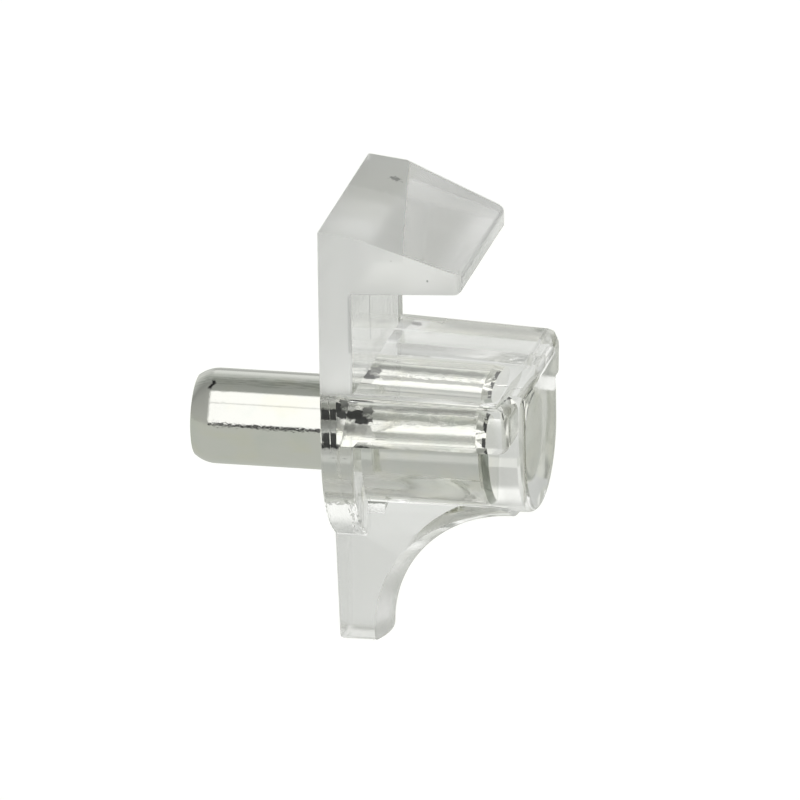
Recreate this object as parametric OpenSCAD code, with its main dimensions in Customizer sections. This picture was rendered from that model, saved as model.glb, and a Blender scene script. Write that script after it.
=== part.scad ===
// Shelf support pin for a glass shelf.
// A plated steel pin plugs into a drilled row hole. A clear moulded body is fixed on the pin:
// it has a wall plate, a hook over the shelf, a slab that the shelf rests on, a round-bellied
// boss around the pin and a bracing leg.
// Units are millimetres. The origin is where the pin axis meets the wall face of the plate.
// +X points from the wall into the cabinet, +Z is up, and the part is symmetric across Y.

/* [Steel pin] */
// Diameter of the steel pin, to suit the drilled hole
pin_d = 5; // [4:0.5:7]
// Length of pin that stands out of the wall face
pin_out = 7.9; // [5:0.1:14]
// Length of the rounded lead-in
pin_lead = 1.1; // [0.6:0.1:2]
// How far the lead-in draws in towards the axis
lead_in = 0.375; // [0.2:0.025:0.6]
// Depth behind the wall face at which the pin's keying groove starts
key_in = 0.15; // [0.05:0.05:0.4]
// Length of the groove that keys the pin to the body
key_len = 0.9; // [0.6:0.1:1.5]
// Depth of that groove
key_deep = 0.2; // [0.1:0.05:0.4]
// Length of the taper on the held end of the pin
pin_tail = 0.5; // [0.2:0.05:1]
// How far that taper draws in
tail_in = 0.3; // [0.1:0.05:0.5]
// Radial gap between the pin and its bore
pin_gap = 0.01; // [0:0.01:0.1]

/* [Wall plate] */
// Width of the wall plate
plate_w = 12.4; // [10.5:0.1:16]
// Thickness of the wall plate
plate_t = 1.76; // [1.2:0.02:2.6]
// Height of the centre of the plate's rounded lower end above the pin axis
plate_arc_z = 0.35; // [0:0.05:1]
// Rounding of the plate's long edges
plate_round = 0.15; // [0.05:0.05:0.5]
// Rounding of the top edge at the wall
top_round = 0.1; // [0.05:0.05:0.5]

/* [Hook] */
// Height of the slot for the shelf, measured at the plate
slot_h = 5.65; // [4:0.05:10]
// Thickness of the hook at the wall
hook_root_t = 3.33; // [2.8:0.01:5]
// Depth of the nearly level part of the top, measured from the wall
hook_flat = 2.1; // [1.8:0.1:4]
// Fall of that part from the wall to its crease
hook_fall = 0.25; // [0:0.05:0.6]
// Reach of the hook from the wall
hook_reach = 7.55; // [5:0.05:9]
// Slope of the hook's upper face, degrees
hook_slope = 20.5; // [8:0.5:25]
// How far each side of the hook draws in by its nose
hook_draw = 0.8; // [0:0.1:1.5]
// Rounding of the hook's upright nose corners
hook_corner = 0.6; // [0.3:0.1:1.5]
// Rounding of the hook's lower nose edge
hook_lip = 0.35; // [0.1:0.05:0.8]

/* [Shelf rest] */
// How far the rest's top stands proud of the plate's edges on each side, at the plate
rest_proud = 0.47; // [0.1:0.01:0.8]
// How far each side of the rest draws in by its front
rest_draw = 0.3; // [0:0.02:0.5]
// How far each side of the rest leans in from its top to its underside
rest_lean = 0.37; // [0.05:0.01:0.6]
// Reach of the shelf rest from the wall
rest_reach = 10.18; // [8:0.02:13]
// Height of the shelf rest's top above the pin axis, at the plate
rest_root_z = 3.87; // [3.5:0.01:6]
// Fall of the rest's top from the plate to its front
rest_drop = 0.24; // [0:0.02:0.6]
// Height of the shelf rest's underside above the pin axis
rest_under_z = 1; // [0.2:0.01:1.2]
// Rounding of the rest's upper front edge
rest_round = 0.9; // [0.3:0.1:1.2]
// Rounding of the rest's lower front edge
rest_lower_round = 0.7; // [0.2:0.1:1]
// Rounding of the rest's upright front corners
rest_corner = 0.5; // [0.2:0.1:1.5]
// Rounding of the rest's upper side edges
rest_edge_round = 0.15; // [0.05:0.05:0.3]

/* [Pin boss] */
// Wall of the boss round the pin where it leaves the plate
boss_wall = 1.8; // [1.2:0.05:2.4]
// How much of that wall the boss has lost by its front
boss_draw = 0.24; // [0:0.02:0.6]
// Wall of the boss in front of the pin's end
boss_end_wall = 2.22; // [1.2:0.02:4]
// How far the boss stands out beyond the shelf rest
boss_proud = 0.29; // [0.1:0.01:1]
// Step from the rest's top at the front down to the top of the boss
boss_step = 0.04; // [0.02:0.02:0.4]
// Rounding around the front face
boss_round = 0.45; // [0.1:0.05:0.8]

/* [Leg] */
// Distance of the leg's foot below the pin axis
leg_drop = 11.25; // [9:0.05:15]
// Width of the leg where it meets the plate
leg_root_w = 6; // [4:0.1:8]
// How far each side of the leg draws in by its foot
leg_draw = 0.85; // [0:0.05:1.2]
// Depth of the foot from the wall
leg_foot_t = 2.35; // [1.8:0.05:3.4]
// Radius of the leg's bowed front across its width
leg_bow_r = 5; // [4:0.1:12]
// Narrowing of the leg towards the front, degrees each side
leg_draft = 4; // [0:0.5:6]
// Rounding around the foot
foot_round = 0.25; // [0.1:0.05:0.5]

/* [Hidden] */
$fn = 96;
// How far a cutting solid runs past the faces that it cuts
over = 1;
// How far a corner's cutting sliver runs past the corner, as a share of the corner's radius
spill = 0.2;
// Radius of the pin shaft and of its keying groove
pin_r = pin_d / 2;
key_r = pin_r - key_deep;
// Radius of the lead-in arc, tangent to the shaft
lead_r = (lead_in * lead_in + pin_lead * pin_lead) / (2 * lead_in);

// The lower end of the plate is a half round as wide as the plate
plate_r = plate_w / 2;

// Heights of the hook's underside, of the part's top edge, of the crease and of the nose corner
hook_under = rest_root_z + slot_h;
plate_top = hook_under + hook_root_t;
hook_crease_z = plate_top - hook_fall;
hook_nose_z = hook_crease_z - (hook_reach - hook_flat) * tan(hook_slope);
// Angle of the nearly level part of the top
hook_fall_angle = atan(hook_fall / hook_flat);
// Width of the hook at its nose, and the angle at which its sides close in towards it
hook_nose_w = plate_w - 2 * hook_draw;
hook_side_angle = atan(hook_draw / (hook_reach - hook_flat));

// Half the width of the shelf rest's top where it leaves the plate
rest_half = plate_r + rest_proud;
// Height of the rest's top at its front
rest_nose_z = rest_root_z - rest_drop;
// Fall of the rest's top per millimetre of reach, and as an angle
rest_fall = rest_drop / (rest_reach - plate_t);
rest_angle = atan(rest_fall);
// Angles at which its sides draw in towards the front and lean in towards the underside
rest_side_angle = atan(rest_draw / (rest_reach - plate_t));
rest_lean_angle = atan(rest_lean / (rest_root_z - rest_under_z));
// Outward normal of one side: both angles and the falling top turn it
rest_side_normal = [
    cos(rest_lean_angle) * sin(rest_side_angle) * cos(rest_angle) - sin(rest_lean_angle) * sin(rest_angle),
    cos(rest_lean_angle) * cos(rest_side_angle),
    -cos(rest_lean_angle) * sin(rest_side_angle) * sin(rest_angle) - sin(rest_lean_angle) * cos(rest_angle),
];

// Reach of the boss from the wall, and length of pin held inside the body
boss_reach = rest_reach + boss_proud;
pin_in = boss_reach - boss_end_wall;
// Radius of the boss's round belly at the plate and at its front
boss_root_r = pin_r + boss_wall;
boss_nose_r = boss_root_r - boss_draw;
// Height of the top of the boss's front face
boss_top_z = rest_nose_z - boss_step;
// Draft of the boss's belly and sides per millimetre of reach, and as an angle
boss_fall = boss_draw / (boss_reach - plate_t);
boss_angle = atan(boss_fall);

// The hollow sweep is centred level with the foot and runs out along the boss's belly
sweep_r = leg_drop - boss_root_r;
sweep_x = leg_foot_t + sweep_r;
// Width of the foot, and the angle at which the leg's sides close in towards it
leg_foot_w = leg_root_w - 2 * leg_draw;
leg_side_angle = atan(leg_draw / sweep_r);
// How far the leg runs out under the boss: short of the rounding of the boss's rim
leg_reach = min(sweep_x, boss_reach - boss_round);

// Solid from a profile drawn in X and Z, centred across Y
module across(width) {
    rotate([90, 0, 0]) linear_extrude(width, center = true) children();
}

// Solid from a profile drawn as radius and reach, turned about the pin axis. A part turn is
// centred below the axis
module about_axis(turn = 360) {
    rotate([0, 90, 0]) rotate([0, 0, -turn / 2]) rotate_extrude(angle = turn) children();
}

// Sliver outside a rounded corner: p is the corner, a and b are the headings of its two sides
module corner_sliver(p, a, b, r) {
    half = abs(a - b) / 2;
    back = r / tan(half);
    u = [cos(a), sin(a)];
    v = [cos(b), sin(b)];
    mid = (u + v) / norm(u + v);
    centre = p + mid * r / sin(half);
    out = p - mid * r * spill;
    difference() {
        polygon([out, out + u * back, centre, out + v * back]);
        translate(centre) circle(r);
    }
}

// Half section of the steel pin: a rounded lead-in, the shaft, a keying groove in it where it
// enters the body, and a tapered tail
module pin_section() {
    translate([0, pin_lead - pin_out]) square([pin_r, pin_out - pin_lead + key_in]);
    translate([0, key_in]) square([key_r, key_len]);
    translate([0, key_in + key_len]) square([pin_r, pin_in - pin_tail - key_in - key_len]);
    translate([0, -pin_out]) square([pin_r - lead_r, pin_lead]);
    intersection() {
        translate([0, -pin_out]) square([pin_r, pin_lead]);
        translate([pin_r - lead_r, pin_lead - pin_out]) circle(lead_r);
    }
    polygon([[0, pin_in - pin_tail], [pin_r, pin_in - pin_tail], [pin_r - tail_in, pin_in], [0, pin_in]]);
}

module steel_pin() {
    color([0.78, 0.78, 0.75]) about_axis() pin_section();
}

// Plate outline seen from above, with its long edges rounded
module plate_plan() {
    difference() {
        translate([0, -plate_r]) square([plate_t, plate_w]);
        corner_sliver([0, plate_r], 0, -90, plate_round);
        corner_sliver([0, -plate_r], 0, 90, plate_round);
        corner_sliver([plate_t, plate_r], 180, 270, plate_round);
        corner_sliver([plate_t, -plate_r], 180, 90, plate_round);
    }
}

// Half section of the plate's round lower end, with the same edges
module plate_end_section() {
    difference() {
        square([plate_r, plate_t]);
        corner_sliver([plate_r, 0], 180, 90, plate_round);
        corner_sliver([plate_r, plate_t], 180, 270, plate_round);
    }
}

// Wall plate: a straight upper part and a half-round lower end
module wall_plate() {
    translate([0, 0, plate_arc_z]) {
        linear_extrude(hook_under + over - plate_arc_z) plate_plan();
        about_axis(turn = 180) plate_end_section();
    }
}

// Hook outline seen from above: it closes in from the crease to the nose
module hook_plan() {
    difference() {
        polygon([
            [0, -plate_r],
            [hook_flat, -plate_r],
            [hook_reach, -hook_nose_w / 2],
            [hook_reach, hook_nose_w / 2],
            [hook_flat, plate_r],
            [0, plate_r],
        ]);
        corner_sliver([0, plate_r], 0, -90, plate_round);
        corner_sliver([0, -plate_r], 0, 90, plate_round);
        corner_sliver([hook_reach, hook_nose_w / 2], -90, -180 - hook_side_angle, hook_corner);
        corner_sliver([hook_reach, -hook_nose_w / 2], 90, 180 + hook_side_angle, hook_corner);
    }
}

// Hook outline seen from the side: flat top, sloping nose, level underside
module hook_side() {
    difference() {
        polygon([
            [0, hook_under],
            [hook_reach, hook_under],
            [hook_reach, hook_nose_z],
            [hook_flat, hook_crease_z],
            [0, plate_top],
        ]);
        corner_sliver([0, plate_top], -hook_fall_angle, -90, top_round);
        corner_sliver([hook_reach, hook_under], 180, 90, hook_lip);
        corner_sliver([hook_reach, hook_nose_z], 270, 180 - hook_slope, hook_lip);
    }
}

module hook() {
    intersection() {
        translate([0, 0, hook_under - over]) linear_extrude(plate_top - hook_under + 2 * over) hook_plan();
        across(plate_w + over) hook_side();
    }
}

// Half section of the boss's round belly: it draws in towards a rounded front rim
module belly_section() {
    difference() {
        polygon([
            [0, 0],
            [boss_root_r + boss_fall * plate_t, 0],
            [boss_nose_r, boss_reach],
            [0, boss_reach],
        ]);
        corner_sliver([boss_nose_r, boss_reach], 180, 270 + boss_angle, boss_round);
    }
}

// Boss outline seen from above
module boss_plan() {
    root = boss_root_r + boss_fall * plate_t;
    difference() {
        polygon([[0, -root], [boss_reach, -boss_nose_r], [boss_reach, boss_nose_r], [0, root]]);
        corner_sliver([boss_reach, boss_nose_r], 270, 180 - boss_angle, boss_round);
        corner_sliver([boss_reach, -boss_nose_r], 90, 180 + boss_angle, boss_round);
    }
}

// Boss outline seen from the side
module boss_side() {
    low = -boss_root_r - over;
    difference() {
        translate([0, low]) square([boss_reach, boss_top_z - low]);
        corner_sliver([boss_reach, boss_top_z], 270, 180, boss_round);
    }
}

// Boss around the pin: round belly and straight upper sides
module pin_boss() {
    intersection() {
        union() {
            about_axis() belly_section();
            linear_extrude(boss_top_z + over) boss_plan();
        }
        across(plate_w) boss_side();
    }
}

// Shelf rest outline seen from above, before its sides are cut: it flares out of the plate
module rest_plan() {
    flare = rest_proud + over;
    out = plate_t / 2 * (1 + flare / rest_proud);
    polygon([
        [plate_t / 2, -plate_r],
        [out, -plate_r - flare],
        [rest_reach, -plate_r - flare],
        [rest_reach, plate_r + flare],
        [out, plate_r + flare],
        [plate_t / 2, plate_r],
    ]);
}

// Shelf rest outline seen from the side: its top falls slightly towards the front
module rest_side() {
    root_z = rest_root_z + rest_fall * plate_t;
    difference() {
        polygon([[0, rest_under_z], [rest_reach, rest_under_z], [rest_reach, rest_nose_z], [0, root_z]]);
        corner_sliver([rest_reach, rest_nose_z], 270, 180 - rest_angle, rest_round);
        corner_sliver([rest_reach, rest_under_z], 180, 90, rest_lower_round);
    }
}

// Cutter for one leaning side of the rest, with the rounding of its upper edge
module rest_side_cutter() {
    translate([plate_t, rest_half, rest_root_z]) rotate([0, rest_angle, 0]) rotate([0, 0, -rest_side_angle]) {
        rotate([-rest_lean_angle, 0, 0]) translate([-rest_reach, 0, -rest_reach])
            cube([3 * rest_reach, rest_reach, 2 * rest_reach]);
        rotate([90, 0, 90]) linear_extrude(3 * rest_reach, center = true)
            corner_sliver([0, 0], 180, 270 - rest_lean_angle, rest_edge_round);
    }
}

// Cutter for one upright front corner of the rest, which leans with the side
module rest_corner_cutter() {
    n = rest_side_normal;
    flat = norm([n.y, n.z]);
    translate([rest_reach, rest_half - n.x / n.y * (rest_reach - plate_t), rest_root_z])
        rotate([atan(n.z / n.y), 0, 0]) linear_extrude(2 * rest_reach, center = true)
            corner_sliver([0, 0], 270, 180 - atan(n.x / flat), rest_corner);
}

// Wide slab that the shelf lies on
module shelf_rest() {
    difference() {
        intersection() {
            translate([0, 0, rest_under_z - over]) linear_extrude(rest_root_z + 2 * over) rest_plan();
            across(2 * (rest_half + 2 * over)) rest_side();
        }
        for (side = [0, 1]) mirror([0, side, 0]) {
            rest_side_cutter();
            rest_corner_cutter();
        }
    }
}

// Leg outline seen from the front, closing in to the foot
module leg_front() {
    root_z = -boss_root_r;
    difference() {
        polygon([
            [-leg_root_w / 2, 0],
            [-leg_root_w / 2, root_z],
            [-leg_foot_w / 2, -leg_drop],
            [leg_foot_w / 2, -leg_drop],
            [leg_root_w / 2, root_z],
            [leg_root_w / 2, 0],
        ]);
        corner_sliver([leg_foot_w / 2, -leg_drop], 180, 90 - leg_side_angle, foot_round);
        corner_sliver([-leg_foot_w / 2, -leg_drop], 0, 90 + leg_side_angle, foot_round);
    }
}

// Leg outline seen from the side, before the hollow sweep is taken out
module leg_side() {
    difference() {
        translate([0, -leg_drop]) square([leg_reach, leg_drop]);
        corner_sliver([0, -leg_drop], 0, 90, foot_round);
    }
}

// Tool that hollows the front of the leg: a waisted roller lying across the part
module sweep_roller() {
    half = leg_root_w / 2 + over / 2;
    translate([sweep_x, 0, -leg_drop]) rotate([90, 0, 0]) rotate_extrude() difference() {
        translate([0, -half]) square([sweep_r + leg_bow_r, 2 * half]);
        translate([sweep_r + leg_bow_r, 0]) circle(leg_bow_r);
    }
}

// Leg outline seen from above, closing in towards the front
module leg_plan() {
    root = leg_root_w / 2;
    nose = root - leg_reach * tan(leg_draft);
    polygon([[0, -root], [leg_reach, -nose], [leg_reach, nose], [0, root]]);
}

// Bracing leg under the boss
module leg() {
    difference() {
        intersection() {
            rotate([90, 0, 90]) linear_extrude(leg_reach) leg_front();
            across(leg_root_w) leg_side();
            translate([0, 0, -leg_drop]) linear_extrude(leg_drop) leg_plan();
        }
        sweep_roller();
    }
}

// Half section of the bore: the body is moulded round the pin and fills its keying groove
module bore_section() {
    bore_r = pin_r + pin_gap;
    tail_x = pin_in - pin_tail;
    difference() {
        union() {
            translate([0, -over]) square([bore_r, over + tail_x]);
            polygon([[0, tail_x], [bore_r, tail_x], [bore_r - tail_in, pin_in + pin_gap], [0, pin_in + pin_gap]]);
        }
        translate([key_r + pin_gap, key_in + pin_gap]) square([key_deep + over, key_len - 2 * pin_gap]);
    }
}

// Bore that holds the pin
module pin_bore() {
    about_axis() bore_section();
}

module clear_body() {
    color([0.86, 0.88, 0.86, 0.5]) difference() {
        union() {
            wall_plate();
            hook();
            shelf_rest();
            pin_boss();
            leg();
        }
        pin_bore();
    }
}

steel_pin();
clear_body();
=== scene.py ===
import math
import bmesh
import bpy
from mathutils import Matrix, Vector


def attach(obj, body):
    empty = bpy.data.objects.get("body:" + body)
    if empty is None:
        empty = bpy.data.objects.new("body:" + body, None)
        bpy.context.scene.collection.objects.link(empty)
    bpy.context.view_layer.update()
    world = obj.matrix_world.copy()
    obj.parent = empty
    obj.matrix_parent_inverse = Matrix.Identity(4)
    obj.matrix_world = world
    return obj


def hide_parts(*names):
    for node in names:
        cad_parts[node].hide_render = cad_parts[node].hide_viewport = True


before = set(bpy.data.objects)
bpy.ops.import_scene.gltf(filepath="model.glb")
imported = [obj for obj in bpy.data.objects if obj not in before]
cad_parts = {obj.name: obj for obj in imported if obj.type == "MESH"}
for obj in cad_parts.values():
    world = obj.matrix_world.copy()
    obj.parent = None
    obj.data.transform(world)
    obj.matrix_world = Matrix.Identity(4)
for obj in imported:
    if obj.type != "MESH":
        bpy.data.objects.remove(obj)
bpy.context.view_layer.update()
mm = 0.001
weldMm = 0.001  # points closer than this are joined
creaseDegrees = 25  # a sharper edge than this stays a crease under smooth shading
white = (1.0, 1.0, 1.0, 1.0)


# Sockets as values: a Wire holds one socket, and an expression on wires adds the nodes for it
class Wire:
    def __init__(self, tree, socket=None):
        self.tree = tree
        self.socket = socket

    def node(self, kind, settings=None, inputs=None, output=0):
        made = self.tree.nodes.new("ShaderNode" + kind)
        for name, value in (settings or {}).items():
            if name == "stops":
                fillStops(made.color_ramp, value)
            else:
                setattr(made, name, value)
        for name, value in (inputs or {}).items():
            self.feed(made.inputs[name], value)
        return Wire(self.tree, made.outputs[output])

    def feed(self, socket, value):
        if isinstance(value, Wire):
            self.tree.links.new(value.socket, socket)
        else:
            socket.default_value = value

    def math(self, operation, first, second=0.0):
        return self.node("Math", {"operation": operation}, {0: first, 1: second})

    def __add__(self, other):
        return self.math("ADD", self, other)

    def __sub__(self, other):
        return self.math("SUBTRACT", self, other)

    def __mul__(self, other):
        return self.math("MULTIPLY", self, other)

    def __truediv__(self, other):
        return self.math("DIVIDE", self, other)

    def __rsub__(self, other):
        return self.math("SUBTRACT", other, self)

    def __rtruediv__(self, other):
        return self.math("DIVIDE", other, self)

    __radd__ = __add__
    __rmul__ = __mul__


# Stops of a colour ramp: each tone stands at one place, or holds from one place to another
def fillStops(colours, spans):
    while len(colours.elements) > 1:
        colours.elements.remove(colours.elements[-1])
    stops = [(place, tone) for *places, tone in spans for place in places]
    for index, (place, tone) in enumerate(stops):
        stop = colours.elements[0] if index == 0 else colours.elements.new(place)
        stop.position = place
        stop.color = (*tone, 1.0)


def newMaterial(name):
    material = bpy.data.materials.new(name)
    material.use_nodes = True
    return material, material.node_tree.nodes["Principled BSDF"], Wire(material.node_tree)


def split(vector):
    return [vector.node("SeparateXYZ", inputs={"Vector": vector}, output=axis) for axis in "XYZ"]


# Object coordinates in millimetres, as one vector and as three numbers
def placeOf(wire):
    place = wire.node("TexCoord", output="Object")
    scaled = wire.node("VectorMath", {"operation": "SCALE"}, {0: place, "Scale": 1 / mm})
    return scaled, *split(scaled)


def noise(place, scale, detail=2.0, stretch=(1.0, 1.0, 1.0), shift=(0.0, 0.0, 0.0)):
    moved = place.node("Mapping", inputs={"Vector": place, "Scale": stretch, "Location": shift})
    return place.node("TexNoise", inputs={"Vector": moved, "Scale": scale, "Detail": detail})


# A soft step from start, at and below low, to end, at and above high
def ramp(value, low, high, start=0.0, end=1.0):
    sockets = {"Value": value, "From Min": low, "From Max": high, "To Min": start, "To Max": end}
    return value.node("MapRange", {"interpolation_type": "SMOOTHSTEP"}, sockets)


# A soft mask by one measure. Two limits: nought at the first and one at the second. Three: from, to and how
# softly it ends. Four: where it starts, is one, stops being one and has ended
def within(value, *limits):
    if len(limits) == 2:
        first, second = limits
        return ramp(value, first, second) if first < second else ramp(value, second, first, 1.0, 0.0)
    if len(limits) == 3:
        low, high, soft = limits
        limits = (low - soft, low + soft, high - soft, high + soft)
    start, full, last, gone = limits
    return within(value, start, full) * within(value, gone, last)


# A soft mask for an area, by those of the measures that the area has limits for
def area(limits, **measures):
    return math.prod(within(value, *limits[name]) for name, value in measures.items() if name in limits)


def largest(first, *others):
    for other in others:
        first = first.math("MAXIMUM", first, other)
    return first


# A mix of two colours: 6, 7 and the output 2 are the node's colour sockets
def blend(share, first, second):
    return share.node("Mix", {"data_type": "RGBA"}, {0: share, 6: first, 7: second}, output=2)


def tones(value, stops):
    return value.node("ValToRGB", {"stops": stops}, {"Fac": value})


def addObject(name, data):
    made = bpy.data.objects.new(name, data)
    bpy.context.scene.collection.objects.link(made)
    return made


# A mesh object from a bmesh, shaded smooth between its creases
def addMesh(name, bm):
    for face in bm.faces:
        face.smooth = True
    for edge in bm.edges:
        edge.smooth = edge.calc_face_angle(0) < math.radians(creaseDegrees)
    data = bpy.data.meshes.new(name)
    bm.to_mesh(data)
    bm.free()
    return addObject(name, data)


# Camera: seen from the front right, a little above, without perspective
camera = {
    "azimuth": 12.84,
    "elevation": 19.93,
    "roll": 0.97,
    "aimMm": (2.819, 0.446, 1.309),
    "widthMm": 41.93,
    "distanceMm": 200,
    "clipMm": 1,
}


def makeCamera():
    azimuth, elevation, roll = (math.radians(camera[angle]) for angle in ("azimuth", "elevation", "roll"))
    back = Vector((math.sin(azimuth) * math.cos(elevation), -math.cos(azimuth) * math.cos(elevation),
                   math.sin(elevation)))
    level = Vector((math.cos(azimuth), math.sin(azimuth), 0))
    upright = back.cross(level)
    right = level * math.cos(roll) - upright * math.sin(roll)
    up = level * math.sin(roll) + upright * math.cos(roll)
    place = Matrix((right, up, back)).transposed().to_4x4()
    place.translation = (Vector(camera["aimMm"]) + back * camera["distanceMm"]) * mm
    data = bpy.data.cameras.new("camera")
    data.type = "ORTHO"
    data.ortho_scale = camera["widthMm"] * mm
    data.clip_start = camera["clipMm"] * mm
    made = addObject("camera", data)
    made.matrix_world = place
    bpy.context.scene.camera = made


makeCamera()
print("camera ready")

# Studio: a pale paper sweep, a long soft light over the front and a dim ceiling behind it
studio = {
    "paper": (0.64, 0.65, 0.62, 1.0),
    "paperRoughness": 0.9,
    "lightStrength": 1.25,
    "lightEdge": (-0.34, -0.26),  # where the front light ends towards the wall side, as a heading
    "throughStrength": 0.2,  # added to what comes through the plastic, from everything below the ceiling
    "throughEnd": (0.72, 0.74),  # heights, as below, over which that ends
    # tones by height all round: 0 is level behind, 0.25 straight down, 0.5 level in front, 0.75 straight up
    "frontStops": (
        (0.0, 0.10, (0.56, 0.565, 0.54)),
        (0.25, (0.46, 0.47, 0.44)),
        (0.475, (0.455, 0.465, 0.435)),
        (0.483, 0.503, (0.05, 0.05, 0.05)),  # dark edge under the light
        (0.511, 0.635, (1.0, 1.0, 0.985)),  # the light, with a seam in it
        (0.641, (0.60, 0.60, 0.58)),
        (0.647, 0.722, (1.0, 1.0, 0.985)),
        (0.734, (0.30, 0.31, 0.29)),  # ceiling
        (0.830, (0.24, 0.25, 0.23)),
        (0.880, (0.50, 0.51, 0.49)),
        (0.915, 0.945, (0.83, 0.835, 0.81)),  # paler strip behind
        (0.960, 1.0, (0.465, 0.47, 0.45)),
    ),
    "sideStops": (
        (0.0, (0.56, 0.565, 0.54)),
        (0.25, (0.46, 0.47, 0.44)),
        (0.47, (0.44, 0.45, 0.42)),
        (0.52, (0.36, 0.365, 0.345)),
        (0.72, (0.34, 0.345, 0.325)),
        (0.80, (0.28, 0.285, 0.27)),
        (0.90, (0.50, 0.51, 0.49)),
        (0.94, 1.0, (0.65, 0.655, 0.63)),
    ),
    "sideThroughStops": (  # the same side for light that comes through the plastic
        (0.47, (0.44, 0.45, 0.42)),
        (0.52, (0.56, 0.565, 0.54)),
        (0.56, (0.74, 0.74, 0.725)),
        (0.71, (0.82, 0.82, 0.81)),
        (0.74, 0.80, (0.38, 0.39, 0.37)),
        (0.83, (0.58, 0.59, 0.56)),
        (1.0, (0.66, 0.665, 0.64)),
    ),
    "floorMm": -45,
    "floorSizeMm": 900,
    "floorLift": 0.58,  # brings the paper up to white for the eye alone
    "floorFadeMm": 400,  # depth over which the tones below run, from the front to the back
    "floorStops": (  # as the plastic shows it
        (0.28, (0.53, 0.54, 0.525)),
        (0.33, 0.385, (0.72, 0.73, 0.715)),
        (0.41, (0.53, 0.54, 0.525)),
        (0.48, (0.57, 0.58, 0.56)),
        (0.60, (0.72, 0.73, 0.71)),
        (0.75, (0.77, 0.78, 0.755)),
        (0.85, (0.75, 0.76, 0.735)),
        (0.95, (0.65, 0.66, 0.635)),
        (1.00, (0.64, 0.65, 0.625)),
    ),
    "floorMirror": (0.55, 0.565, 0.525, 1.0),  # as the steel shows it
}


def makeWorld():
    world = bpy.data.worlds.new("studio")
    bpy.context.scene.world = world
    world.use_nodes = True
    tree = world.node_tree
    tree.nodes.clear()
    wire = Wire(tree)
    along, depth, high = split(wire.node("TexCoord", output="Generated"))  # here this is the direction
    height = wire.math("ARCTAN2", high, depth * -1) / (2 * math.pi) + 0.5
    front = tones(height, studio["frontStops"])
    side = tones(height, studio["sideStops"])
    sideThrough = tones(height, studio["sideThroughStops"])
    through = wire.node("LightPath", output="Is Transmission Ray")
    edgeStart, edgeEnd = studio["lightEdge"]
    inLight = wire.node("MapRange", inputs={"Value": along, "From Min": edgeStart, "From Max": edgeEnd})
    tone = blend(inLight, blend(through, side, sideThrough), front)
    added = ramp(height, *studio["throughEnd"], studio["throughStrength"], 0.0)
    strength = studio["lightStrength"] + through * added
    room = wire.node("VectorMath", {"operation": "SCALE"}, {0: tone, "Scale": strength})
    lit = wire.node("Background", inputs={"Color": room, "Strength": 1.0})
    seen = wire.node("Background", inputs={"Color": white, "Strength": 1.0})
    cameraRay = wire.node("LightPath", output="Is Camera Ray")
    shader = wire.node("MixShader", inputs={0: cameraRay, 1: lit, 2: seen})
    output = tree.nodes.new("ShaderNodeOutputWorld")
    wire.feed(output.inputs["Surface"], shader)


def makeFloor():
    bm = bmesh.new()
    bmesh.ops.create_grid(bm, x_segments=1, y_segments=1, size=studio["floorSizeMm"] / 2 * mm)
    bmesh.ops.translate(bm, verts=bm.verts, vec=(0, 0, studio["floorMm"] * mm))
    floor = addMesh("floor", bm)
    material, paint, wire = newMaterial("floorPaper")
    paint.inputs["Base Color"].default_value = studio["paper"]
    paint.inputs["Roughness"].default_value = studio["paperRoughness"]
    paper = Wire(wire.tree, paint.outputs[0])
    lift = wire.node("Emission", inputs={"Color": white, "Strength": studio["floorLift"]})
    seen = wire.node("AddShader", inputs={0: paper, 1: lift})  # white to the eye, and still takes the shadow
    _, depth, _ = split(wire.node("TexCoord", output="Object"))
    depth = depth / (studio["floorFadeMm"] * mm) + 0.5
    tone = tones(depth, studio["floorStops"])
    rays = ("Is Camera Ray", "Is Glossy Ray", "Is Transmission Ray")
    cameraRay, glossy, through = (wire.node("LightPath", output=ray) for ray in rays)
    mirrored = blend(through, studio["floorMirror"], tone)
    mirrored = wire.node("Emission", inputs={"Color": mirrored, "Strength": 1.0})
    shown = wire.node("MixShader", inputs={0: largest(glossy, through), 1: paper, 2: mirrored})
    shader = wire.node("MixShader", inputs={0: cameraRay, 1: shown, 2: seen})
    wire.feed(material.node_tree.nodes["Material Output"].inputs["Surface"], shader)
    floor.data.materials.append(material)


makeWorld()
makeFloor()
print("studio ready")

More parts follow.
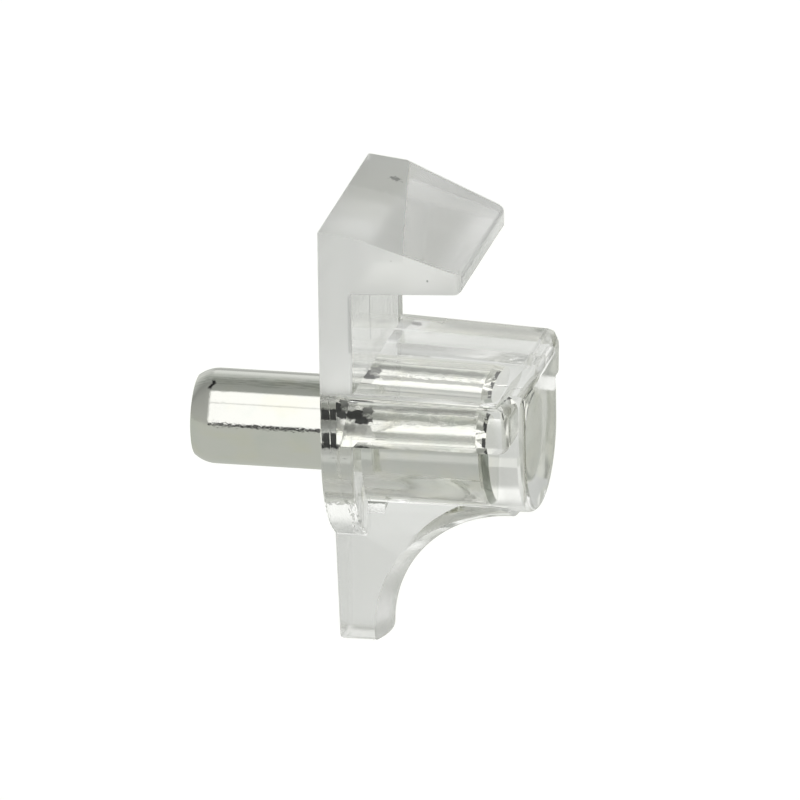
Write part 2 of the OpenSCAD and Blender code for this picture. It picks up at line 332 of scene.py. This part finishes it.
# Clear body: the moulding as the CAD has it, in a plastic that is glossy round the pin, soft on the hook and
# the leg, and frosted on the sides of the plate and the hook.
# Limits are in mm, as within takes them: x runs along the pin, y across it and z up. Each share of painted
# shade is how far the plastic turns to the painted shade colour.
clearBody = {
    "clear": (1.0, 1.0, 0.996, 1.0),
    "cloudy": (0.985, 0.990, 0.978, 1.0),
    # painted shade, laid on where the clear plastic shows darker
    "paintedShade": (0.72, 0.73, 0.715, 1.0),
    "dirt": (0.006, 0.006, 0.006, 1.0),
    "ior": 1.58,
    "glossy": 0.03,
    "frosted": 0.33,
    "uneven": 0.25,  # how far the roughness varies, as a share of it
    "waveMm": 0.004,  # height of the waves in the faces
    "rippleShare": 0.05,  # of the fine ripples among them
    "markMm": 0.016,  # height of the flow marks, the ridge and the scuffs
    "noises": {
        "cloud": {"scale": 0.55, "detail": 3.0, "shift": (3.0, 1.0, 0.0)},
        "wander": {"scale": 1.3, "detail": 3.0},
        "ragged": {"scale": 5.0},
        "flow": {"scale": 1.8, "stretch": (1.4, 1.0, 0.6)},
        "waves": {"scale": 0.8},
        "scuffs": {"scale": 2.6, "detail": 3.0, "stretch": (1.0, 0.8, 1.0)},
    },
    "cloudyFrom": (0.35, 0.7),  # noise values between which the cloud begins and fully shows
    "roughAreas": {
        "hook": {"rough": 0.16, "z": (7.8, 8.2)},
        "hookRoot": {"rough": 0.23, "x": (3.8, 2.0), "z": (8.5, 10.3)},
        "plate": {"rough": 0.11, "x": (2.0, 1.6), "z": (3.7, 4.1)},
        "restBack": {"rough": 0.18, "x": (1.8, 9.6, 0.6), "y": (0.6, 1.8), "z": (3.0, 4.2, 0.6)},
        "nose": {"rough": 0.24, "x": (9.15, 10.3, 0.15), "z": (-5.0, 3.0, 0.15)},
        "front": {"rough": 0.12, "x": (9.9, 10.3), "z": (-5.0, 4.2, 0.2)},
        "leg": {"rough": 0.24, "x": (9.2, 8.8), "z": (-4.7, -5.1)},
    },
    "roughWander": 0.2,  # how far the ends of those areas wander
    # where the hook stands over the plate: frosted, with painted shade that is deepest at the far side
    "root": {
        "x": (3.5, 3.36), "y": (-6.1, -6.0), "z": (11.2, 11.5),
        "lean": 0.19, "wander": 0.2, "shadeShare": 0.45,
    },
    "rootBack": {"y": (0.9, 1.5), "wander": 0.8, "shadeShare": 0.55},
    # frosted sides, by their distance from the middle: past straightTo they draw in by this share
    "sides": {"y": (6.0, 6.1), "z": (3.63, 3.87), "straightTo": 2.1, "drawIn": 0.147},
    # painted shade on the far half of the rest's top
    "shelf": {"x": (2.0, 9.5, 0.3), "y": (-0.2, 1.2), "z": (3.5, 4.2, 0.05), "wander": 2.0, "shadeShare": 0.45},
    # flow marks on the near side of the plate's lower end, and in the corner in front of it; the first also
    # has painted shade, under the pin
    "rim": {"x": (1.95, 1.85), "y": (-2.5, -3.0), "z": (-4.8, -2.2, 0.3), "shadeShare": 0.4},
    "web": {"x": (1.9, 3.2, 0.1), "y": (-0.5, -1.0), "z": (-6.0, -3.3, 0.3)},
    # scuffs near the hook's nose, and a fine bowed ridge on the near side of the plate
    "noseEdge": {"x": (6.7, 7.6, 0.1), "y": (-4.5, 3.5, 0.5), "z": (9.8, 10.0), "lean": 0.02, "wander": 2.0},
    "ridge": {"x": (0.56, 0.62, 0.04), "y": (-5.9, -6.0), "z": (0.6, 3.7, 0.1), "bow": 0.01},
    "lineLean": 0.04,
    "lines": {  # fine dark lines down the front of the plate
        "middle": {"x": (1.6, 1.9, 0.05), "y": (-1.5, -1.3, 0.04), "z": (5.4, 8.0, 0.1), "dark": 0.6},
        "edge": {"x": (1.6, 1.9, 0.05), "y": (-5.98, -5.8, 0.04), "z": (6.2, 9.4, 0.1), "dark": 0.4},
    },
    "specks": {  # place and radius in mm
        "hookTop": ((2.15, 3.3, 12.6), 0.34),
        "hookEdge": ((3.9, -5.9, 11.4), 0.07),
        "hookSide": ((5.8, -5.7, 10.3), 0.07),
        "hookNose": ((7.5, -2.9, 10.4), 0.12),
        "restCorner": ((2.72, 5.25, 3.9), 0.32),
        "rim": ((0.3, -5.5, -2.5), 0.12),
        "rimFront": ((1.7, -4.5, -3.8), 0.22),
    },
    "speckEdge": (1.2, 0.6),  # in radii from the middle, as is the next
    "speckRagged": 2.0,
    "speckDark": 0.85,
}


def clearPlastic():
    material, paint, wire = newMaterial("clearPlastic")
    place, along, across, up = placeOf(wire)
    noises = {name: noise(place, **kind) for name, kind in clearBody["noises"].items()}
    wander, ragged = noises["wander"] - 0.5, noises["ragged"] - 0.5  # a noise lies about 0.5
    cloud = within(noises["cloud"], *clearBody["cloudyFrom"])
    root, rootBack, sides, shelf = (clearBody[name] for name in ("root", "rootBack", "sides", "shelf"))
    overPlate = area(root, x=along + across * root["lean"] + wander * root["wander"], z=up)
    rootShadeMask = overPlate * area(root, y=across)
    rootBackShadeMask = rootShadeMask * area(rootBack, y=across + wander * rootBack["wander"])
    shelfShadeMask = area(shelf, x=along, y=across + wander * shelf["wander"], z=up)
    rim, web = (area(clearBody[name], x=along, y=across, z=up) for name in ("rim", "web"))
    # colour: a faint cloud, painted shade over the plate, on the rest's top and under the pin, specks and
    # lines
    paintedShade = clearBody["paintedShade"]
    colour = blend(cloud, clearBody["clear"], clearBody["cloudy"])
    # painted shade where the hook stands over the plate, deeper towards the far side
    colour = blend(rootShadeMask * root["shadeShare"] + rootBackShadeMask * rootBack["shadeShare"], colour, paintedShade)
    # painted shade on the rest's top
    colour = blend(shelfShadeMask * shelf["shadeShare"], colour, paintedShade)
    blots = []
    for spot, radius in clearBody["specks"].values():
        away = wire.node("VectorMath", {"operation": "DISTANCE"}, {0: place, 1: spot}, output="Value")
        edge = (radius * share for share in clearBody["speckEdge"])
        blots.append(within(away + ragged * (radius * clearBody["speckRagged"]), *edge))
    colour = blend(largest(*blots) * clearBody["speckDark"], colour, clearBody["dirt"])
    # painted shade under the pin, on the near side of the plate's lower end
    colour = blend(rim * clearBody["rim"]["shadeShare"], colour, paintedShade)
    for line in clearBody["lines"].values():
        leaning = across + up * clearBody["lineLean"]
        colour = blend(area(line, x=along, y=leaning, z=up) * line["dark"], colour, clearBody["dirt"])
    # roughness: soft areas on a glossy body, frosted sides and root
    moved = along + wander * clearBody["roughWander"]
    soft = (area(part, x=moved, y=across, z=up) * part["rough"] for part in clearBody["roughAreas"].values())
    narrowing = largest(along - sides["straightTo"], 0.0) * sides["drawIn"]
    onSides = area(sides, y=wire.math("ABSOLUTE", across) + narrowing, z=up)
    rough = largest(*soft, largest(overPlate, onSides) * clearBody["frosted"], clearBody["glossy"])
    rough = rough + wander * rough * clearBody["uneven"]
    # relief: waves, and marks from the moulding and from use
    ridge, noseEdge = clearBody["ridge"], clearBody["noseEdge"]
    onRidge = area(ridge, x=along + up * up * ridge["bow"], y=across, z=up)
    leaning, wandering = along + across * noseEdge["lean"], across + wander * noseEdge["wander"]
    onEdge = area(noseEdge, x=leaning, y=wandering, z=up)
    waves = noises["waves"] + noises["ragged"] * clearBody["rippleShare"]
    marks = noises["flow"] * largest(rim, web) + onRidge + noises["scuffs"] * onEdge
    relief = waves * clearBody["waveMm"] + marks * clearBody["markMm"]
    bump = wire.node("Bump", inputs={"Strength": 1.0, "Distance": mm, "Height": relief})
    wire.feed(paint.inputs["Base Color"], colour)
    wire.feed(paint.inputs["Roughness"], rough)
    wire.feed(paint.inputs["Normal"], bump)
    paint.inputs["Transmission Weight"].default_value = 1.0
    paint.inputs["IOR"].default_value = clearBody["ior"]
    return material


def makeBody():
    bm = bmesh.new()
    bm.from_mesh(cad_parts["clear_body"].data)
    bmesh.ops.remove_doubles(bm, verts=bm.verts, dist=weldMm * mm)
    body = addMesh("clearBody", bm)
    body.data.materials.append(clearPlastic())
    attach(body, "root")
    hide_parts("clear_body")


makeBody()
print("body ready")

# Steel pin: bright plate with drawn streaks, stained a little, with painted dark reflections where the
# plastic meets it and painted shade on the free end's crown and nose. Limits are as within takes them: x runs
# along the pin in mm, and turn round it in degrees, up from the front
steelPin = {
    "radiusMm": 2.512,  # a little fuller than the hole, so that the plastic touches it
    "outMm": 7.9,
    "leadMm": 1.1,  # rounded lead-in: how long, and how far in
    "leadInMm": 0.375,
    "ringMm": 0.15,  # a ring of edges just inside the wall face
    "endMm": 8.272,
    "tailMm": 0.51,  # tapered held end: how long, and how far in
    "tailInMm": 0.295,
    "arcSteps": 8,
    "turnSteps": 128,
    "bright": (0.81, 0.81, 0.775, 1.0),
    "yellow": (0.82, 0.81, 0.68, 1.0),
    "green": (0.73, 0.77, 0.72, 1.0),
    "dull": (0.70, 0.71, 0.67, 1.0),
    # painted shade, for the crown and the nose of the free end
    "crown": (0.60, 0.61, 0.58, 1.0),
    "shade": (0.30, 0.33, 0.28, 1.0),
    # for the marks: painted dark reflection in the patches and the line, and the nick and the broken ring
    "darkMarksAndPaintedReflection": (0.012, 0.013, 0.014, 1.0),
    "stainShare": 0.45,
    "streakShare": 0.15,
    "roughness": 0.05,
    "dullRoughness": 0.16,  # of the front where the plastic was moulded on
    "streakRoughness": 0.04,  # added in the streaks, and below in the marks
    "markRoughness": 0.3,
    "grainMm": 0.0014,  # height of the fine unevenness
    "streakGrain": 0.5,  # how much of it the streaks have
    "seamMm": 0.010,
    "pitMm": 0.004,
    "bubbleMm": 0.035,  # height of the bubbly skin under the plastic
    "noises": {
        "wander": {"scale": 2.2, "detail": 3.0},
        "ragged": {"scale": 6.0},
        "streaks": {"scale": 1.0, "detail": 4.0, "stretch": (0.5, 7.0, 7.0)},
        "broken": {"scale": 2.6, "shift": (0.0, 5.0, 0.0)},
        "yellow": {"scale": 0.9, "detail": 3.0, "stretch": (0.6, 1.0, 1.0)},
        "green": {"scale": 0.7, "detail": 3.0, "shift": (9.0, 4.0, 2.0)},
        "scratch": {"scale": 1.6, "detail": 4.0, "stretch": (0.6, 5.0, 5.0), "shift": (2.0, 0.0, 3.0)},
        "grain": {"scale": 5.5, "detail": 3.0, "stretch": (0.8, 1.0, 1.0)},
        "skin": {"scale": 2.4, "detail": 3.0, "stretch": (0.7, 1.0, 1.0)},
    },
    "stainFrom": (0.45, 0.72),  # noise values between which each begins and fully shows
    "brokenFrom": (0.42, 0.5),
    "scratchFrom": (0.42, 0.62),
    "darkLineFrom": (0.35, 0.5),
    # the stretch outside the plastic, and the one that the plastic grips
    "free": {"x": (-7.89, -7.85, -0.3, 0.0)},
    "held": {"x": (2.4, 3.4, 7.5, 7.8)},
    # on the free end
    # painted shade on the crown
    "crownShadeArea": {"turn": (74.0, 84.0), "wander": 8.0},
    "scuffed": {"turn": (60.0, 78.0, 3.0), "dark": 0.3},
    # painted shade on the nose, the lead-in
    "nose": {"x": (-6.6, -7.3), "turn": (10.0, 60.0), "wander": 0.4, "dark": 0.7},
    "seam": {"turn": (0.0, 14.0, 3.0)},
    "pitted": {"x": (-5.2, -6.4), "turn": (8.0, 52.0, 4.0)},
    # under the plastic
    "bubbly": {"turn": (42.0, 66.0, 4.0)},
    "dullArea": {"turn": (18.0, 32.0, 2.0), "wander": 6.0},
    # a painted dark reflection line along the front of the held pin
    "paintedDarkLine": {"x": (1.8, 7.7, 0.2), "turn": (5.2, 7.4, 0.8), "ragged": 3.0, "dark": 0.6},
    "tailRing": {"x": (8.08, 8.262, 0.005), "turn": (4.0, 100.0, 3.0), "dark": 0.95},
    "tailShade": {"x": (7.9, 8.262, 0.02), "turn": (5.0, -5.0), "dark": 0.8},
    # patches of painted dark reflection, and a nick on the free end: from and to along the pin, from and to
    # round it, and how dark
    "patches": {
        "band": (-0.3, 0.55, 36.0, 52.0, 0.975),
        "film": (-0.3, 0.6, 20.0, 37.0, 0.5),
        "filmMiddle": (0.6, 1.3, 27.0, 44.0, 0.5),
        "filmEnd": (1.3, 1.9, 26.0, 40.0, 0.25),
        "block": (0.7, 1.65, 46.0, 65.0, 0.975),
        "step": (1.2, 1.95, 40.0, 54.0, 0.965),
        "tail": (1.6, 2.2, 43.0, 51.0, 0.85),
        "shoulder": (1.6, 2.15, 57.0, 75.0, 0.75),
        "ridge": (0.7, 1.2, 86.0, 99.0, 0.9),
        "crest": (1.9, 7.6, 70.0, 84.0, 0.4),
        "entry": (-0.2, 0.46, 0.0, 20.0, 0.97),
        "crown": (-0.2, 1.2, 66.0, 96.0, 0.3),
        "nick": (-6.98, -6.76, 56.0, 66.0, 0.95),
    },
    # how softly the patches end, and how far their edges wander
    "patch": {
        "softX": 0.05, "wanderX": 0.5, "raggedX": 0.15,
        "softTurn": 2.0, "wanderTurn": 14.0, "raggedTurn": 5.0,
    },
}


def platedSteel():
    material, paint, wire = newMaterial("platedSteel")
    place, along, across, up = placeOf(wire)
    turn = wire.math("ARCTAN2", up, across * -1) * (180 / math.pi)
    noises = {name: noise(place, **kind) for name, kind in steelPin["noises"].items()}
    wander, ragged = noises["wander"] - 0.5, noises["ragged"] - 0.5
    streaks = noises["streaks"]
    free, held = (area(steelPin[name], x=along) for name in ("free", "held"))
    # marks: patches with wandering edges (painted dark reflection, and a nick on the free end), a painted
    # dark reflection line along the front and a broken ring at the held end
    paintedDarkLine, tailRing, tailShade = (steelPin[name] for name in ("paintedDarkLine", "tailRing", "tailShade"))
    patch = steelPin["patch"]
    patchX = along + wander * patch["wanderX"] + ragged * patch["raggedX"]
    patchTurn = turn + wander * patch["wanderTurn"] + ragged * patch["raggedTurn"]
    patches = []
    for start, end, low, high, dark in steelPin["patches"].values():
        inPatch = within(patchX, start, end, patch["softX"]) * within(patchTurn, low, high, patch["softTurn"])
        patches.append(inPatch * dark)
    broken = within(noises["broken"], *steelPin["brokenFrom"])
    ring = area(tailRing, x=along, turn=turn) * broken
    # painted dark reflection line
    line = area(paintedDarkLine, x=along, turn=turn + ragged * paintedDarkLine["ragged"])
    line = line * within(streaks, *steelPin["darkLineFrom"])
    marks = largest(*patches, ring * tailRing["dark"], line * paintedDarkLine["dark"])
    # colour: two faint stains, streaks, painted shade on the crown and nose of the free end, a shaded tail,
    # and the marks
    crownShadeArea, scuffed, nose = (steelPin[name] for name in ("crownShadeArea", "scuffed", "nose"))
    yellow, green = (within(noises[name], *steelPin["stainFrom"]) for name in ("yellow", "green"))
    crownShade = area(crownShadeArea, turn=turn + wander * crownShadeArea["wander"]) * free
    noseShade = area(nose, x=along + wander * nose["wander"], turn=turn) * free
    scratched = area(scuffed, turn=turn) * free * within(noises["scratch"], *steelPin["scratchFrom"])
    colour = blend(yellow * steelPin["stainShare"], steelPin["bright"], steelPin["yellow"])
    colour = blend(green * steelPin["stainShare"], colour, steelPin["green"])
    colour = blend(streaks * steelPin["streakShare"], colour, steelPin["dull"])
    # painted shade on the crown and nose
    colour = blend(largest(crownShade, noseShade * nose["dark"]), colour, steelPin["crown"])
    colour = blend(scratched * scuffed["dark"], colour, steelPin["shade"])
    colour = blend(area(tailShade, x=along, turn=turn) * tailShade["dark"], colour, steelPin["shade"])
    # the marks: painted dark reflection, with the nick and the broken ring
    colour = blend(marks, colour, steelPin["darkMarksAndPaintedReflection"])
    # relief: fine grain, a rough seam along the front, pits near the nose, bubbly skin under the plastic
    onSeam = area(steelPin["seam"], turn=turn) * free
    pitted = area(steelPin["pitted"], x=along, turn=turn) * free
    bubbly = area(steelPin["bubbly"], turn=turn) * held
    fine = (ragged + streaks * steelPin["streakGrain"]) * steelPin["grainMm"]
    coarse = noises["grain"] * (onSeam * steelPin["seamMm"] + pitted * steelPin["pitMm"])
    skin = noises["skin"] * bubbly * steelPin["bubbleMm"]
    bump = wire.node("Bump", inputs={"Strength": 1.0, "Distance": mm, "Height": fine + coarse + skin})
    dullArea = steelPin["dullArea"]
    dull = area(dullArea, turn=turn + wander * dullArea["wander"]) * held
    rough = steelPin["roughness"] + dull * (steelPin["dullRoughness"] - steelPin["roughness"])
    rough = rough + streaks * steelPin["streakRoughness"] + marks * steelPin["markRoughness"]
    wire.feed(paint.inputs["Base Color"], colour)
    wire.feed(paint.inputs["Roughness"], rough)
    wire.feed(paint.inputs["Normal"], bump)
    paint.inputs["Metallic"].default_value = 1.0
    return material


def makePin():
    radius, out, end = (steelPin[name] for name in ("radiusMm", "outMm", "endMm"))
    lead, leadIn, tail, tailIn = (steelPin[name] for name in ("leadMm", "leadInMm", "tailMm", "tailInMm"))
    arc = (leadIn ** 2 + lead ** 2) / (2 * leadIn)  # radius of the lead-in, which runs tangent into the shaft
    profile = [(-out, 0.0)]
    for step in range(steelPin["arcSteps"] + 1):
        done = lead * step / steelPin["arcSteps"]
        profile.append((-out + done, radius - arc + math.sqrt(arc ** 2 - (lead - done) ** 2)))
    profile += [(steelPin["ringMm"], radius), (end - tail, radius), (end, radius - tailIn), (end, 0.0)]
    bm = bmesh.new()
    verts = [bm.verts.new((x * mm, 0, z * mm)) for x, z in profile]
    edges = [bm.edges.new(pair) for pair in zip(verts, verts[1:])]
    bmesh.ops.spin(bm, geom=verts + edges, axis=(1, 0, 0), cent=(0, 0, 0), steps=steelPin["turnSteps"],
                   angle=2 * math.pi, use_merge=True)
    bmesh.ops.remove_doubles(bm, verts=bm.verts, dist=weldMm * mm)
    bmesh.ops.recalc_face_normals(bm, faces=bm.faces)
    made = addMesh("steelPin", bm)
    made.data.materials.append(platedSteel())
    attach(made, "root")
    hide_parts("steel_pin")


makePin()
print("pin ready")

scene = bpy.context.scene
scene.view_settings.view_transform = "Standard"
scene.cycles.max_bounces = 32  # light crosses many clear walls
scene.cycles.glossy_bounces = 24
scene.cycles.transmission_bounces = 32
scene.cycles.transparent_max_bounces = 16
